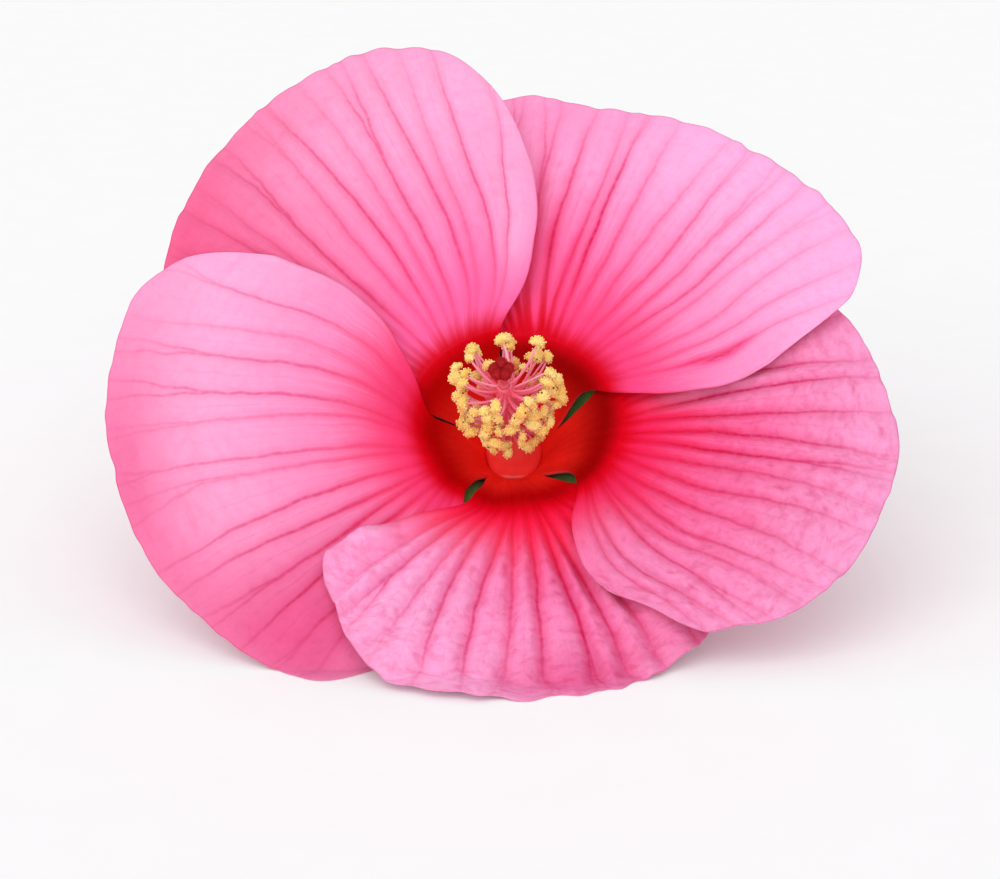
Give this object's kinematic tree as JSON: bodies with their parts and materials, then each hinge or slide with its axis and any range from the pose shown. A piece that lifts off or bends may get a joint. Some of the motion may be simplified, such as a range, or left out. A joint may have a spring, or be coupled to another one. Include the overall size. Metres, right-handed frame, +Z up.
{
  "type": "hibiscus flower",
  "caption": "Large open pink mallow hibiscus flower with overlapping petals, red eye, stamen column, calyx and short cut stalk, lying on its side.",
  "frame": {"origin": "on the surface, under the middle of the flower's outline", "axes": "+Z up from the surface, -Y towards the side that the open flower faces, +X to the right seen from that side"},
  "size_m": [0.1794, 0.137, 0.1133],
  "materials": {
    "petal": "matte",
    "stamens": "matte",
    "pistil": "velvety",
    "calyx": "matte",
    "stalk": "satin"
  },
  "bodies": {
    "root": {"petal_top_left": "petal", "petal_top_right": "petal", "petal_right": "petal", "petal_bottom": "petal", "petal_left": "petal", "stamen_column": "stamens", "pistil": "pistil", "calyx": "calyx", "bracts": "calyx", "stalk": "stalk"}
  },
  "joints": []
}
